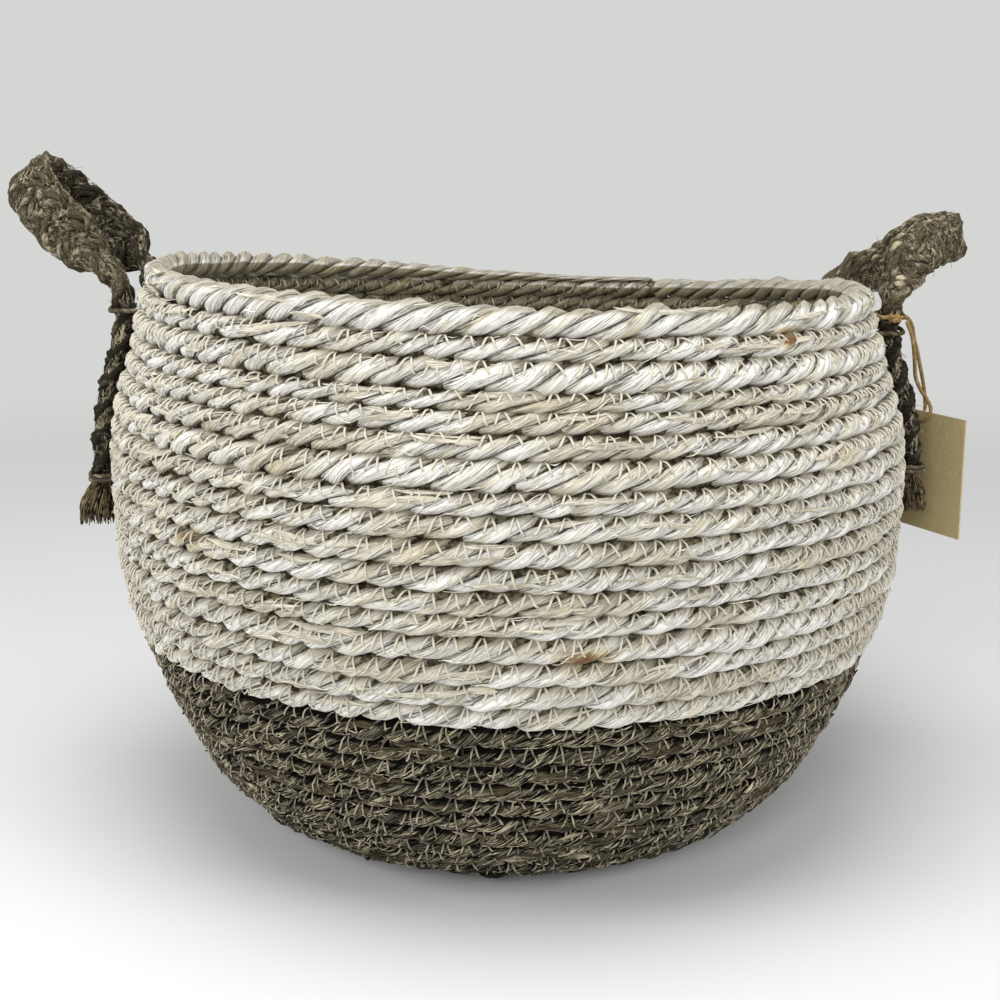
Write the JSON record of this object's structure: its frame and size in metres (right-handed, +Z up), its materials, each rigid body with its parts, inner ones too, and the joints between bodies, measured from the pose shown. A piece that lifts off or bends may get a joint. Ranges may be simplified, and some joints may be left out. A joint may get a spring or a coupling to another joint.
{
  "type": "storage basket",
  "caption": "Round open basket of coiled, zigzag-stitched leaf rope, dark below and whitewashed above, with two plaited jute loop handles and a plain swing tag.",
  "frame": {"origin": "middle of the flat underside of the base", "axes": "+Z up through the mouth, +X to the right through the right handle, -Y towards the front"},
  "size_m": [0.4682, 0.3801, 0.3219],
  "materials": {
    "dark_leaf_rope": "dry matt leaf",
    "white_leaf_rope": "whitewashed, matt",
    "jute": "hairy plaited jute",
    "twine": "natural twine",
    "card": "uncoated card"
  },
  "bodies": {
    "basket": {"base_coil": "dark_leaf_rope", "lower_wall_coil": "dark_leaf_rope", "upper_wall_coil": "white_leaf_rope", "rim_coil": "white_leaf_rope", "handle_left_near_tail": "jute", "handle_left_near_top_lashing": "jute", "handle_left_near_end_lashing": "jute", "handle_left_near_tassel": "jute", "handle_left_far_tail": "jute", "handle_left_far_top_lashing": "jute", "handle_left_far_end_lashing": "jute", "handle_left_far_tassel": "jute", "handle_right_near_tail": "jute", "handle_right_near_top_lashing": "jute", "handle_right_near_end_lashing": "jute", "handle_right_near_tassel": "jute", "handle_right_far_tail": "jute", "handle_right_far_top_lashing": "jute", "handle_right_far_end_lashing": "jute", "handle_right_far_tassel": "jute", "tag_string_loop": "twine", "tag_string_knot": "twine"},
    "handle_left": {"handle_left_loop": "jute"},
    "handle_right": {"handle_right_loop": "jute"},
    "swing_tag": {"tag": "card", "tag_string": "twine"}
  },
  "joints": [
    {"name": "handle_left_fold", "type": "hinge", "parent": "basket", "child": "handle_left", "pos_m": [-0.17995, 0.00628, 0.2635], "axis": [-0.0349, -0.9994, 0], "range_deg": [-42, 40]},
    {"name": "handle_right_fold", "type": "hinge", "parent": "basket", "child": "handle_right", "pos_m": [0.17567, 0.02782, 0.254], "axis": [-0.1564, 0.9877, 0], "range_deg": [-42, 40]},
    {"name": "tag_swing", "type": "hinge", "parent": "basket", "child": "swing_tag", "pos_m": [0.18102, -0.03088, 0.2464], "axis": [-0.0785, -0.9969, 0], "range_deg": [0, 38]}
  ]
}
